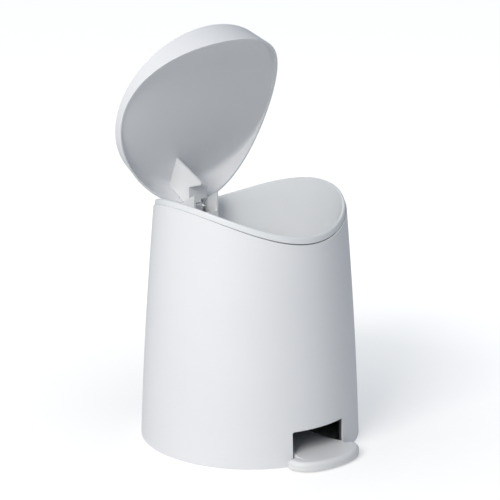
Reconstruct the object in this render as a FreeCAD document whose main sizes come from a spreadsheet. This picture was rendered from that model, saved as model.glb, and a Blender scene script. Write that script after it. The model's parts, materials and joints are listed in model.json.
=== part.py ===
"""Pedal bin of about three litres: a tapered shell with a saddle-shaped rim, a lift-out bucket whose
lip shows above the shell, a hinged lid, and a pedal that raises the lid through a push rod.

Millimetres. The origin is the centre of the footprint, on the floor. +Z is up, the pedal points to -Y
and the lid hinges about an axis along X at the back. The bin stands as it does with a foot on the
pedal: the pedal is down, the rod is up and the lid is open.
"""
import FreeCAD, Part
import math
import os
import Sketcher

# ---------------------------------------------------------------- driving dimensions

size = {
    # tapered body, shared by shell and lid
    "foot_radius": 100.0, "cone_height": 236.0, "cone_top_radius": 83.32, "cone_bow": 4200.0,
    "wall": 2.0,
    # saddle rim: a cylinder lying along X trims the body
    "rim_radius": 152.4, "rim_shift": 1.0, "rim_crest": 219.6,
    # opening in the shell for the pedal
    "notch_half": 29.0, "notch_height": 30.5, "notch_corner": 1.8,
    # lid, with its dished top
    "lid_raise": 5.4, "lid_rim_radius": 155.0, "lid_rim_crest": 224.75, "lid_open": 65.93,
    "lid_top_radius": 1190.0, "lid_top_shift": 11.3, "lid_top_crest": 234.3,
    "dish_floor": 227.4,
    "lid_gap_half": 11.4, "lid_gap_top": 207.6,
    # hinge of the lid
    "hinge_y": 85.6, "hinge_z": 199.28, "pin_radius": 1.5, "running_gap": 0.05,
    # bucket, with the shaft for the mechanism pressed into its back
    "lip_rise": 4.7, "lip_inset": 1.1, "bucket_wall": 1.7, "bucket_floor": 38.0,
    "bucket_foot_x": 74.0, "bucket_foot_y": 76.0, "bucket_top_x": 82.6, "bucket_top_y": 85.0,
    "shaft_half": 12.2, "shaft_front": 66.0, "shaft_lip": 192.5,
    # arm under the lid, measured from the hinge with the lid closed
    "arm_half": 10.5, "arm_plate": 2.2, "arm_reach": 33.2, "arm_boss": 3.8, "arm_back": 3.5,
    "arm_neck": 2.2, "arm_neck_rise": 8.0, "hook_reach": 30.8, "hook_drop": 15.5, "hook_radius": 1.6,
    "corner_reach": 18.6, "corner_drop": 1.3, "heel_reach": 7.0, "heel_drop": 6.2,
    "web_lean_y": 0.8, "web_lean_z": 1.8, "short_reach": 17.9, "short_front": 1.5,
    "short_rise": 10.5,
    "flange_rise": 15.5, "flange_thick": 2.5, "flange_reach": 23.1, "flange_depth": 15.3,
    "flange_side": 0.4, "stud_radius": 3.4, "stud_x": 4.4, "stud_front": 19.3, "stud_back": 11.9,
    # nose of the arm, which the rod pushes up
    "nose_reach": 4.2, "nose_drop": 6.2, "nose_radius": 1.15, "nose_half": 3.6, "nose_gap": 0.8,
    "nose_rise": 0.157,
    # bracket that carries the hinge on the shell
    "ear_inner": 4.6, "ear_outer": 7.9, "ear_front": 81.6, "bracket_half": 11.0,
    "bracket_low": 160.0, "bracket_high": 188.0, "bracket_front": 83.6,
    # base insert
    "deck_top": 36.5, "deck_thick": 2.5, "deck_radius": 95.9, "base_wall": 2.2, "base_foot_radius": 97.4,
    "flange_low": 1.5, "flange_high": 3.5, "flange_inner": 84.0,
    "cheek_inner": 24.6, "cheek_thick": 2.6, "cheek_front": 60.0, "cheek_back": 32.0,
    # pedal
    "pivot_y": 20.0, "pivot_z": 12.0, "axle_radius": 2.5, "hub_radius": 6.5, "hub_half": 24.0,
    "toe_half": 37.5, "toe_back_half": 33.0, "toe_side": 100.0, "toe_corner_y": 115.0,
    "toe_corner_x": 29.5, "toe_front_bow": 62.0, "toe_low": 1.2, "toe_top": 9.0,
    "toe_corner_bow": 22.0, "toe_back_bow": 5.5, "toe_back_y": 96.6, "neck_top": 10.0, "neck_skin": 3.0,
    "neck_half": 21.5, "neck_wide": 27.0, "neck_flare": 72.0, "neck_bow": 34.0, "pedal_low": 3.0,
    "rib_thick": 2.4, "spine_half": 1.2, "lever_half": 7.0, "lever_thick": 5.0, "lever_end": 83.0,
    "lever_knee": 74.0,
    # push rod
    "rod_y": 78.5, "rod_radius": 2.0, "rod_foot_low": 26.0, "rod_foot_high": 32.5, "rod_foot_radius": 4.0,
    "link_gap": 0.9, "head_half": 3.8, "head_front": 75.0, "head_back": 83.0, "head_high": 14.0,
    # guide for the rod
    "guide_low": 96.0, "guide_high": 104.0, "guide_half": 6.0, "guide_front": 75.0, "rod_gap": 0.1,
    # fasteners and feet
    "screw_radius": 1.5, "screw_head": 3.2, "screw_head_top": 2.4, "screw_head_high": 2.0,
    "screw_length": 6.0, "arm_screw_length": 8.0, "seat_radius": 3.6,
    "bracket_screw_x": 6.2, "bracket_screw_z": 168.0, "bracket_seat": 88.6,
    "guide_screw_z": 100.0, "guide_seat": 94.2,
    "clip_radius": 5.5, "clip_thick": 1.2, "pad_radius": 5.5, "pad_offset": 64.0,
    # construction allowance past a face that is being trimmed
    "half_spare": 20.0, "spare": 40.0, "span": 240.0,
}

doc = FreeCAD.newDocument("PedalBin")
dims = doc.addObject("Spreadsheet::Sheet", "Dims")
for row, (alias, value) in enumerate(size.items(), start=1):
    dims.set(f"A{row}", alias)
    dims.set(f"B{row}", str(value))
    dims.setAlias(f"B{row}", alias)
doc.recompute()

nodes = []

# ---------------------------------------------------------------- building blocks


def measure(total):
    """Millimetres of a sum of cell names, such as "deck_top - deck_thick"."""
    sign = 1.0
    result = 0.0
    for word in total.split():
        if word in "+-":
            sign = -1.0 if word == "-" else 1.0
        else:
            result += sign * size[word] if word in size else sign * float(word)
    return result


def minus(total):
    """The sum with every sign turned round."""
    turned_round = total.replace("+", "~").replace("-", "+").replace("~", "-")
    return turned_round[2:] if total.startswith("-") else "- " + turned_round


def formula(total):
    """The same sum as an expression that follows the sheet."""
    words = [f"Dims.{word}" if word in size else word for word in total.split()]
    return " ".join(words)


def bind(thing, **properties):
    """Bind properties, with dots written as double underscores, to sums of cells."""
    for name, total in properties.items():
        thing.setExpression(name.replace("__", "."), formula(total))


def place(thing, x="0", y="0", z="0", turn=FreeCAD.Rotation()):
    """Put an object at a bound point."""
    thing.Placement = FreeCAD.Placement(FreeCAD.Vector(measure(x), measure(y), measure(z)), turn)
    bind(thing, Placement__Base__x=x, Placement__Base__y=y, Placement__Base__z=z)


def origin_plane(body, role):
    """One of a body's own three origin planes."""
    return next(feature for feature in body.Origin.OriginFeatures if feature.Role == role)


def arc_edge(start, end, radius, bend):
    """Arc from start to end. A bend of +1 turns left along the way, -1 turns right."""
    chord = end - start
    half = chord.Length / 2
    left = FreeCAD.Vector(-chord.y, chord.x, 0).normalize()
    middle = start + chord * 0.5 + left * bend * math.sqrt(radius ** 2 - half ** 2)
    first, last = (start, end) if bend > 0 else (end, start)
    angles = [math.atan2(point.y - middle.y, point.x - middle.x) for point in (first, last)]
    circle = Part.Circle(middle, FreeCAD.Vector(0, 0, 1), radius)
    return Part.ArcOfCircle(circle, angles[0], angles[1])


def outline(body, role, corners, arcs=None, offset="0"):
    """Closed sketch on a body's plane. Corners are pairs of sums; arcs maps an edge's number to
    its (radius, bend)."""
    arcs = arcs or {}
    sketch = body.newObject("Sketcher::SketchObject", body.Name + "Outline")
    sketch.AttachmentSupport = (origin_plane(body, role), [""])
    sketch.MapMode = "FlatFace"
    bind(sketch, AttachmentOffset__Base__z=offset)
    points = [FreeCAD.Vector(measure(x), measure(y), 0) for x, y in corners]
    count = len(points)
    ends = []
    for edge in range(count):
        start, end = points[edge], points[(edge + 1) % count]
        if edge in arcs:
            radius, bend = arcs[edge]
            sketch.addGeometry(arc_edge(start, end, measure(radius), bend))
            ends.append((1, 2) if bend > 0 else (2, 1))
        else:
            sketch.addGeometry(Part.LineSegment(start, end))
            ends.append((1, 2))
    for edge in range(count):
        after = (edge + 1) % count
        sketch.addConstraint(Sketcher.Constraint("Coincident", edge, ends[edge][1], after, ends[after][0]))
    for edge, (x, y) in enumerate(corners):
        for kind, total in (("DistanceX", x), ("DistanceY", y)):
            rule = Sketcher.Constraint(kind, -1, 1, edge, ends[edge][0], measure(total))
            index = sketch.addConstraint(rule)
            sketch.setExpression(f"Constraints[{index}]", formula(total))
    for edge, (radius, bend) in arcs.items():
        index = sketch.addConstraint(Sketcher.Constraint("Radius", edge, measure(radius)))
        sketch.setExpression(f"Constraints[{index}]", formula(radius))
    return sketch


def prism(name, role, corners, length, start="0", arcs=None):
    """Outline padded along its plane's normal: +Z on XY_Plane, -Y on XZ_Plane, +X on YZ_Plane."""
    body = doc.addObject("PartDesign::Body", name)
    sketch = outline(body, role, corners, arcs, start)
    pad = body.newObject("PartDesign::Pad", name + "Pad")
    pad.Profile = sketch
    bind(pad, Length=length)
    sketch.Visibility = False
    return body


def turned(name, corners, arcs=None):
    """Outline of (radius, height) corners turned about the vertical axis."""
    body = doc.addObject("PartDesign::Body", name)
    sketch = outline(body, "XZ_Plane", corners, arcs)
    turn = body.newObject("PartDesign::Revolution", name + "Turn")
    turn.Profile = sketch
    turn.ReferenceAxis = (sketch, ["V_Axis"])
    turn.Angle = 360
    return body


def cylinder(name, radius, height, x="0", y="0", z="0", turn=FreeCAD.Rotation()):
    """Cylinder from a bound point, along +Z before it is turned."""
    solid = doc.addObject("Part::Cylinder", name)
    bind(solid, Radius=radius, Height=height)
    place(solid, x, y, z, turn)
    return solid


def cross_cylinder(name, radius, half, y, z):
    """Cylinder along X, centred on the middle plane."""
    along_x = FreeCAD.Rotation(FreeCAD.Vector(0, 1, 0), 90)
    return cylinder(name, radius, f"{half} + {half}", minus(half), y, z, along_x)


def box(name, half, y, depth, z, height):
    """Box centred on the middle plane, from y backwards and from z upwards."""
    solid = doc.addObject("Part::Box", name)
    bind(solid, Length=f"{half} + {half}", Width=depth, Height=height)
    place(solid, minus(half), y, z)
    return solid


def fuse(name, *shapes):
    """Union of shapes."""
    result = doc.addObject("Part::MultiFuse", name)
    result.Shapes = list(shapes)
    return result


def common(name, *shapes):
    """What all the shapes share."""
    result = doc.addObject("Part::MultiCommon", name)
    result.Shapes = list(shapes)
    return result


def cut(name, base, *tools):
    """Base with the tools taken away."""
    result = doc.addObject("Part::Cut", name)
    result.Base = base
    result.Tool = tools[0] if len(tools) == 1 else fuse(name + "Tools", *tools)
    return result


def node(label, *shapes):
    """Hand a finished piece, or a group of like pieces, to the assembly."""
    piece = shapes[0]
    if len(shapes) > 1:
        piece = doc.addObject("Part::Compound", label + "_group")
        piece.Links = list(shapes)
    piece.Label = label
    nodes.append(piece)
    return piece


def cone_body(name, inset="0"):
    """Solid with the body's tapered, slightly bowed side, inset from the outer face."""
    corners = [("0", "0"), (f"foot_radius - {inset}", "0"),
               (f"cone_top_radius - {inset}", "cone_height"), ("0", "cone_height")]
    return turned(name, corners, {1: ("cone_bow", 1)})


def rim_cylinder(name, radius, crest):
    """Cylinder along X whose top line is the crest of a saddle rim."""
    return cross_cylinder(name, radius, "span", "rim_shift", f"{crest} - {radius}")


# ---------------------------------------------------------------- pieces fixed to the floor side

BACKWARDS = FreeCAD.Rotation(FreeCAD.Vector(1, 0, 0), -90)
# where each screw in the shell's back stands: across, up, and the depth of the flat under its head
BRACKET_SCREWS = (("- bracket_screw_x", "bracket_screw_z", "bracket_seat"),
                  ("bracket_screw_x", "bracket_screw_z", "bracket_seat"))
GUIDE_SCREW = ("0", "guide_screw_z", "guide_seat")


def screw_hole(name, screw):
    """Space for the shank of a back screw."""
    across, up, seat = screw
    tip = f"{seat} - screw_length"
    return cylinder(name, "screw_radius", "screw_length + wall", across, tip, up, BACKWARDS)


def outer_shell():
    """Moulded polypropylene tube, open at both ends, with the saddle rim and the pedal notch."""
    tube = cut("ShellTube", cone_body("ShellOutside"), cone_body("ShellInside", "wall"))
    trimmed = common("ShellTrimmed", tube, rim_cylinder("ShellRim", "rim_radius", "rim_crest"))
    corners = [("- notch_half", "- wall"), ("notch_half", "- wall"),
               ("notch_half", "notch_height - notch_corner"),
               ("notch_half - notch_corner", "notch_height"),
               ("notch_corner - notch_half", "notch_height"),
               ("- notch_half", "notch_height - notch_corner")]
    rounding = {2: ("notch_corner", 1), 4: ("notch_corner", 1)}
    notch = prism("ShellNotch", "XZ_Plane", corners, "spare + spare", "spare", rounding)
    holes = []
    for number, screw in enumerate((*BRACKET_SCREWS, GUIDE_SCREW)):
        across, up, seat = screw
        holes.append(screw_hole(f"ShellHole{number}", screw))
        holes.append(cylinder(f"ShellSeat{number}", "seat_radius", "spare", across, seat, up, BACKWARDS))
    node("outer_shell", cut("Shell", trimmed, notch, *holes))


def back_screws():
    """Pan-head screws driven forwards through the back of the shell, heads on flats sunk in its face."""
    screws = []
    for number, (across, up, seat) in enumerate((*BRACKET_SCREWS, GUIDE_SCREW)):
        corners = [("0", "0"), ("screw_radius", "0"), ("screw_radius", "screw_length"),
                   ("screw_head", "screw_length"), ("screw_head_top", "screw_length + screw_head_high"),
                   ("0", "screw_length + screw_head_high")]
        screw = turned(f"BackScrew{number}", corners)
        place(screw, across, f"{seat} - screw_length", up, BACKWARDS)
        screws.append(screw)
    node("back_screws", *screws)


def base_frame():
    """Dark insert that closes the shell's foot: a deck under the bucket, a skirt with a foot flange,
    and two cheeks that carry the pedal's axle."""
    deck = cylinder("BaseDeck", "deck_radius", "deck_thick", z="deck_top - deck_thick")
    skirt_corners = [("base_foot_radius - base_wall", "flange_low"), ("base_foot_radius", "flange_low"),
                     ("deck_radius", "deck_top"), ("deck_radius - base_wall", "deck_top")]
    skirt = turned("BaseSkirt", skirt_corners)
    flange_corners = [("flange_inner", "flange_low"), ("base_foot_radius - wall", "flange_low"),
                      ("base_foot_radius - wall", "flange_high"), ("flange_inner", "flange_high")]
    flange = turned("BaseFlange", flange_corners)
    cheeks = []
    for side, name in (("- cheek_inner - cheek_thick", "Left"), ("cheek_inner", "Right")):
        cheek = doc.addObject("Part::Box", "Cheek" + name)
        bind(cheek, Length="cheek_thick", Width="cheek_front + cheek_back",
             Height="deck_top - flange_high")
        place(cheek, side, "- cheek_front", "flange_high")
        cheeks.append(cheek)
    whole = fuse("BaseWhole", deck, skirt, flange, *cheeks)
    mouth = box("BaseMouth", "notch_half", "- foot_radius - wall", "spare", "- wall",
                "deck_top - deck_thick + wall")
    bore = cross_cylinder("AxleBore", "axle_radius", "notch_half", "pivot_y", "pivot_z")
    rod_hole = cylinder("DeckRodHole", "rod_radius + rod_gap", "spare", y="rod_y", z="flange_high")
    node("base_frame", cut("Base", whole, mouth, bore, rod_hole))


def foot_pads():
    """Four soft pads pressed under the flange of the base."""
    reach = ("pad_offset", "- pad_offset")
    for number in range(4):
        pad = cylinder(f"FootPad{number}", "pad_radius", "flange_low", reach[number // 2], reach[number % 2])
        node(f"foot_pad_{number + 1}", pad)


def hinge_bracket():
    """Moulded block screwed to the inside of the shell's back, with two ears around the pin."""
    inside = cone_body("BracketSeat", "wall")
    foot = box("BracketFoot", "bracket_half", "bracket_front", "spare", "bracket_low",
               "bracket_high - bracket_low")
    parts = [common("BracketFootTrimmed", foot, inside)]
    for side, name in (("- ear_outer", "Left"), ("ear_inner", "Right")):
        corners = [("ear_front", "bracket_low"), ("hinge_y", "bracket_low"),
                   ("hinge_y", "hinge_z"), ("ear_front", "hinge_z")]
        ear = prism("Ear" + name, "YZ_Plane", corners, "ear_outer - ear_inner", side)
        parts.append(common(f"Ear{name}Trimmed", ear, cone_body(f"Ear{name}Seat", "wall")))
        along_x = FreeCAD.Rotation(FreeCAD.Vector(0, 1, 0), 90)
        parts.append(cylinder(f"Ear{name}Eye", "arm_boss", "ear_outer - ear_inner", side,
                              "hinge_y", "hinge_z", along_x))
    for number, (across, up, _) in enumerate(BRACKET_SCREWS):
        parts.append(cylinder(f"BracketBoss{number}", "seat_radius", "bracket_front + wall - ear_front",
                              across, "ear_front", up, BACKWARDS))
    bore = cross_cylinder("PinBore", "pin_radius + running_gap", "arm_half", "hinge_y", "hinge_z")
    holes = [screw_hole(f"BracketHole{number}", screw) for number, screw in enumerate(BRACKET_SCREWS)]
    node("hinge_bracket", cut("Bracket", fuse("BracketWhole", *parts), bore, *holes))


def rod_guide():
    """Moulded guide on the inside of the shell's back that keeps the push rod upright."""
    block = box("GuideBlock", "guide_half", "guide_front", "spare", "guide_low", "guide_high - guide_low")
    body = common("GuideBody", block, cone_body("GuideSeat", "wall"))
    bore = cylinder("GuideBore", "rod_radius + rod_gap", "spare", y="rod_y", z="guide_low - wall")
    node("rod_guide", cut("Guide", body, bore, screw_hole("GuideHole", GUIDE_SCREW)))


# ---------------------------------------------------------------- bucket


def oval_cone(name, inset, floor, lift):
    """Tapered oval solid between the bucket's foot and a level above its rim."""
    rings = []
    for level, across, along in (("Foot", "bucket_foot_x", "bucket_foot_y"),
                                 ("Top", "bucket_top_x", "bucket_top_y")):
        ring = doc.addObject("Part::Ellipse", name + level)
        bind(ring, MajorRadius=f"{along} - {inset}", MinorRadius=f"{across} - {inset}")
        quarter = FreeCAD.Rotation(FreeCAD.Vector(0, 0, 1), 90)
        place(ring, z=floor if level == "Foot" else lift, turn=quarter)
        rings.append(ring)
    solid = doc.addObject("Part::Loft", name)
    solid.Sections = rings
    solid.Solid = True
    return solid


def inner_bucket():
    """Lift-out bucket that hangs by its lip on the shell's rim, with a shaft in its back for the
    hinge and the push rod."""
    outside = oval_cone("BucketOutside", "0", "bucket_floor", "cone_height")
    trimmed = common("BucketTrimmed", outside,
                     rim_cylinder("BucketRim", "rim_radius", "rim_crest + lip_rise"))
    collar = common("Collar", cone_body("CollarSide", "lip_inset"),
                    rim_cylinder("CollarTop", "rim_radius", "rim_crest + lip_rise"))
    lip = cut("Lip", collar, rim_cylinder("LipUnderside", "rim_radius", "rim_crest"))
    shaft = box("ShaftRecess", "shaft_half", "shaft_front", "spare", "bucket_floor - wall", "span")
    shaft_mouth = box("ShaftMouth", "shaft_half", "shaft_front - half_spare", "spare + spare",
                      "shaft_lip", "spare")
    shape = cut("BucketShape", fuse("BucketWhole", trimmed, lip), shaft)
    hollow = oval_cone("BucketInside", "bucket_wall", "bucket_floor + bucket_wall", "cone_height + wall")
    shaft_wall = box("ShaftWall", "shaft_half + bucket_wall", "shaft_front - bucket_wall", "spare",
                     "bucket_floor", "span")
    room = cut("BucketRoom", hollow, shaft_wall)
    node("inner_bucket", cut("Bucket", shape, room, shaft_mouth))


# ---------------------------------------------------------------- lid


def lifted(piece):
    """Swing a lid piece, drawn closed, about the hinge to the open position."""
    hinge = FreeCAD.Vector(0, size["hinge_y"], size["hinge_z"])
    swing = FreeCAD.Rotation(FreeCAD.Vector(1, 0, 0), -size["lid_open"])
    piece.Placement = FreeCAD.Placement(FreeCAD.Vector(), swing, hinge).multiply(piece.Placement)


def lid_cone(name, inset="0"):
    """The body's tapered side, raised to where the closed lid continues it."""
    body = cone_body(name, inset)
    place(body, z="lid_raise")
    return body


def lid_cover():
    """Moulded lid: a tapered skirt, a panel set down inside it and two studs for the arm's screws."""
    top = cross_cylinder("LidTopFace", "lid_top_radius", "span", "lid_top_shift",
                         "lid_top_crest - lid_top_radius")
    outside = common("LidOutside", lid_cone("LidCone"), top)
    skirt = cut("LidSkirt", outside, rim_cylinder("LidRim", "lid_rim_radius", "lid_rim_crest"))
    panel = cylinder("LidPanel", "foot_radius", "wall", z="dish_floor - wall")
    room = cut("LidRoom", lid_cone("LidInnerCone", "wall"), panel)
    gap = box("LidHingeGap", "lid_gap_half", "hinge_y - half_spare", "spare",
              "lid_gap_top - spare", "spare")
    skin = cut("LidSkin", skirt, room, gap)
    studs = [cylinder(f"LidStud{number}", "stud_radius", "dish_floor - wall - hinge_z - flange_rise",
                      "- stud_x", f"hinge_y - {reach}", "hinge_z + flange_rise")
             for number, reach in enumerate(("stud_front", "stud_back"))]
    pilots = [cylinder(f"LidPilot{number}", "screw_radius", "arm_screw_length - flange_thick",
                       "- stud_x", f"hinge_y - {reach}", "hinge_z + flange_rise")
              for number, reach in enumerate(("stud_front", "stud_back"))]
    lifted(node("lid_cover", cut("Lid", fuse("LidWhole", skin, *studs), *pilots)))


def hinge_arm():
    """Moulded arm under the lid: a hooked left plate with the flange for the screws, a short right
    plate, a web between them low down and a rounded nose that rests on the push rod."""
    top = "dish_floor - wall"
    hook_z = "hinge_z - hook_drop + hook_radius"
    inner = "arm_half - arm_plate"
    corners = [("hinge_y - arm_reach", top),
               ("hinge_y - hook_reach - hook_radius", hook_z),
               ("hinge_y - hook_reach + hook_radius", hook_z),
               ("hinge_y - corner_reach", "hinge_z - corner_drop"),
               ("hinge_y - heel_reach", "hinge_z - heel_drop"),
               ("hinge_y", "hinge_z - arm_boss"),
               ("hinge_y", "hinge_z + arm_boss"),
               ("hinge_y - arm_neck", "hinge_z + arm_neck_rise"),
               ("hinge_y - arm_back", top)]
    side = prism("ArmSide", "YZ_Plane", corners, "arm_half + arm_half", "- arm_half")
    hook = cross_cylinder("ArmHook", "hook_radius", "arm_half", "hinge_y - hook_reach", hook_z)
    boss = cross_cylinder("ArmBoss", "arm_boss", "arm_half", "hinge_y", "hinge_z")
    middle = box("ArmMiddle", inner, "hinge_y - spare", "spare + spare", "hinge_z - spare", "spare + spare")
    short_corners = [("hinge_y - short_reach", "hinge_z - half_spare"),
                     ("hinge_y - short_reach", "hinge_z + short_front"),
                     ("hinge_y - arm_back", "hinge_z + short_rise"),
                     ("hinge_y", "hinge_z + short_rise"),
                     ("hinge_y", f"{top} + wall"),
                     ("hinge_y - spare", f"{top} + wall"),
                     ("hinge_y - spare", "hinge_z - half_spare")]
    shortening = prism("ArmShortening", "YZ_Plane", short_corners, "arm_plate + wall + wall",
                       f"{inner} - wall")
    plates = cut("ArmPlates", fuse("ArmBlank", side, hook, boss), middle, shortening)
    flange = doc.addObject("Part::Box", "ArmFlange")
    bind(flange, Length=f"{inner} - flange_side", Width="flange_depth", Height="flange_thick")
    place(flange, minus(inner), "hinge_y - flange_reach", "hinge_z + flange_rise - flange_thick")
    web_corners = [("hinge_y - corner_reach", "hinge_z - corner_drop"),
                   ("hinge_y - heel_reach", "hinge_z - heel_drop"),
                   ("hinge_y - heel_reach + web_lean_y", "hinge_z - heel_drop + web_lean_z"),
                   ("hinge_y - corner_reach + web_lean_y", "hinge_z - corner_drop + web_lean_z")]
    web = prism("ArmWeb", "YZ_Plane", web_corners, f"{inner} + {inner}", minus(inner))
    tongue_corners = [("hinge_y - heel_reach - arm_plate", "hinge_z - heel_drop + web_lean_y"),
                      ("hinge_y - nose_reach", "hinge_z - nose_drop - nose_radius"),
                      ("hinge_y - nose_reach", "hinge_z - nose_drop + nose_radius"),
                      ("hinge_y - heel_reach - arm_plate + web_lean_y", "hinge_z - heel_drop + arm_neck")]
    tongue = prism("ArmTongue", "YZ_Plane", tongue_corners, "nose_half + nose_half", "- nose_half")
    nose = cross_cylinder("ArmNose", "nose_radius", "nose_half", "hinge_y - nose_reach",
                          "hinge_z - nose_drop")
    bore = cross_cylinder("ArmBore", "pin_radius", "arm_half", "hinge_y", "hinge_z")
    holes = [cylinder(f"ArmHole{number}", "screw_radius", "spare", "- stud_x", f"hinge_y - {reach}",
                      "hinge_z + short_rise")
             for number, reach in enumerate(("stud_front", "stud_back"))]
    whole = fuse("ArmWhole", plates, flange, web, tongue, nose)
    lifted(node("hinge_arm", cut("Arm", whole, bore, *holes)))


def arm_screws():
    """Two pan-head screws driven up through the arm's flange into the lid's studs."""
    screws = []
    for number, reach in enumerate(("stud_front", "stud_back")):
        corners = [("0", "0"), ("screw_head_top", "0"), ("screw_head", "screw_head_high"),
                   ("screw_radius", "screw_head_high"),
                   ("screw_radius", "screw_head_high + arm_screw_length"),
                   ("0", "screw_head_high + arm_screw_length")]
        screw = turned(f"ArmScrew{number}", corners)
        place(screw, "- stud_x", f"hinge_y - {reach}",
              "hinge_z + flange_rise - flange_thick - screw_head_high")
        screws.append(screw)
    lifted(node("arm_screws", *screws))


def hinge_pin():
    """Steel pin pressed into the arm's plates; it turns in the bracket's ears."""
    lifted(node("hinge_pin", cross_cylinder("Pin", "pin_radius", "arm_half", "hinge_y", "hinge_z")))


# ---------------------------------------------------------------- pedal


def pedal_lever():
    """White moulding from the toe plate outside the shell to the lever's end under the push rod."""
    toe_corners = [("- toe_back_half", "- toe_back_y"), ("- toe_half", "- toe_side"),
                   ("- toe_corner_x", "- toe_corner_y"), ("toe_corner_x", "- toe_corner_y"),
                   ("toe_half", "- toe_side"), ("toe_back_half", "- toe_back_y")]
    toe_arcs = {0: ("toe_back_bow", 1), 1: ("toe_corner_bow", 1), 2: ("toe_front_bow", 1),
                3: ("toe_corner_bow", 1), 4: ("toe_back_bow", 1)}
    toe = prism("Toe", "XY_Plane", toe_corners, "toe_top - toe_low", "toe_low", toe_arcs)
    neck_corners = [("- neck_wide", "- toe_back_y - wall"), ("neck_wide", "- toe_back_y - wall"),
                    ("neck_wide", "- toe_back_y + wall"), ("neck_half", "- neck_flare"),
                    ("neck_half", "pivot_y"), ("- neck_half", "pivot_y"),
                    ("- neck_half", "- neck_flare"), ("- neck_wide", "- toe_back_y + wall")]
    flare = {2: ("neck_bow", -1), 6: ("neck_bow", -1)}
    neck = prism("Neck", "XY_Plane", neck_corners, "neck_top - pedal_low", "pedal_low", flare)
    hollow = box("NeckHollow", "neck_half - rib_thick", "- toe_side + hub_radius", "toe_side + pivot_y",
                 "toe_low", "neck_top - neck_skin - toe_low")
    hub = cross_cylinder("Hub", "hub_radius", "hub_half", "pivot_y", "pivot_z")
    lever_top = "rod_foot_low - link_gap"
    lever_corners = [("pivot_y", "pivot_z - hub_radius"), ("lever_knee", f"{lever_top} - lever_thick"),
                     ("lever_end", f"{lever_top} - lever_thick"), ("lever_end", lever_top),
                     ("lever_knee", lever_top), ("pivot_y", "pivot_z + hub_radius")]
    lever = prism("Lever", "YZ_Plane", lever_corners, "lever_half + lever_half", "- lever_half")
    spine = box("Spine", "spine_half", "- toe_side + hub_radius", "toe_side + pivot_y - hub_radius",
                "pedal_low", "neck_top - pedal_low")
    bore = cross_cylinder("HubBore", "axle_radius + running_gap", "notch_half", "pivot_y", "pivot_z")
    frame = cut("NeckFrame", neck, hollow)
    node("pedal_lever", cut("Pedal", fuse("PedalWhole", toe, frame, spine, hub, lever), bore))


def pedal_axle():
    """Steel rod fixed in the base's cheeks, on which the pedal rocks."""
    node("pedal_axle", cross_cylinder("Axle", "axle_radius", "notch_half", "pivot_y", "pivot_z"))


def axle_clips():
    """Two push-on retainers on the axle's ends, outside the cheeks."""
    clips = []
    along_x = FreeCAD.Rotation(FreeCAD.Vector(0, 1, 0), 90)
    for number, side in enumerate(("- cheek_inner - cheek_thick - clip_thick", "cheek_inner + cheek_thick")):
        centre = (side, "pivot_y", "pivot_z", along_x)
        disc = cylinder(f"ClipDisc{number}", "clip_radius", "clip_thick", *centre)
        bore = cylinder(f"ClipBore{number}", "axle_radius", "clip_thick", *centre)
        clips.append(cut(f"Clip{number}", disc, bore))
    node("axle_clips", *clips)


# ---------------------------------------------------------------- push rod


def push_rod():
    """Steel wire rod between the pedal's lever and the arm's nose, with a moulded foot and head."""
    head_top = "hinge_z + nose_rise - nose_gap"
    rod = cylinder("Rod", "rod_radius", f"{head_top} - wall - rod_foot_low - wall",
                   y="rod_y", z="rod_foot_low + wall")
    node("push_rod", rod)
    foot = cylinder("FootBlank", "rod_foot_radius", "rod_foot_high - rod_foot_low",
                    y="rod_y", z="rod_foot_low")
    socket = cylinder("FootSocket", "rod_radius", "spare", y="rod_y", z="rod_foot_low + wall")
    node("rod_foot", cut("RodFoot", foot, socket))
    head = box("HeadBlank", "head_half", "head_front", "head_back - head_front",
               f"{head_top} - head_high", "head_high")
    bore = cylinder("HeadSocket", "rod_radius", "head_high - wall", y="rod_y", z=f"{head_top} - head_high")
    node("rod_head", cut("RodHead", head, bore))


# ---------------------------------------------------------------- assembly and export

for make in (outer_shell, base_frame, foot_pads, hinge_bracket, rod_guide, back_screws, inner_bucket,
             lid_cover, hinge_arm, arm_screws, hinge_pin, pedal_lever, pedal_axle, axle_clips, push_rod):
    make()
doc.recompute()

for thing in doc.Objects:
    if "Invalid" in thing.State or "Error" in thing.State:
        raise RuntimeError(f"{thing.Label} failed: {thing.State}")

os.makedirs("parts", exist_ok=True)
for piece in nodes:
    if piece.Shape.isNull() or not piece.Shape.isValid():
        raise RuntimeError(f"{piece.Label} has no valid shape")
    piece.Shape.exportStep(f"parts/{piece.Label}.step")
    extent = piece.Shape.optimalBoundingBox(False)
    print(f"{piece.Label:14s} {len(piece.Shape.Solids)} solid(s) {piece.Shape.Volume / 1000:8.2f} cm3  "
          f"x {extent.XMin:.1f}..{extent.XMax:.1f}  y {extent.YMin:.1f}..{extent.YMax:.1f}  "
          f"z {extent.ZMin:.1f}..{extent.ZMax:.1f}")
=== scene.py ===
"""Pedal bin with its lid open: a tapered white shell with a saddle rim, a lift-out bucket, a lid on a
hinge arm, and a pedal that works the lid through a push rod. Metres, in the frame of the CAD part.
"""
import json
import math
import bmesh
import bpy
from mathutils import Matrix, Vector


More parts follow.
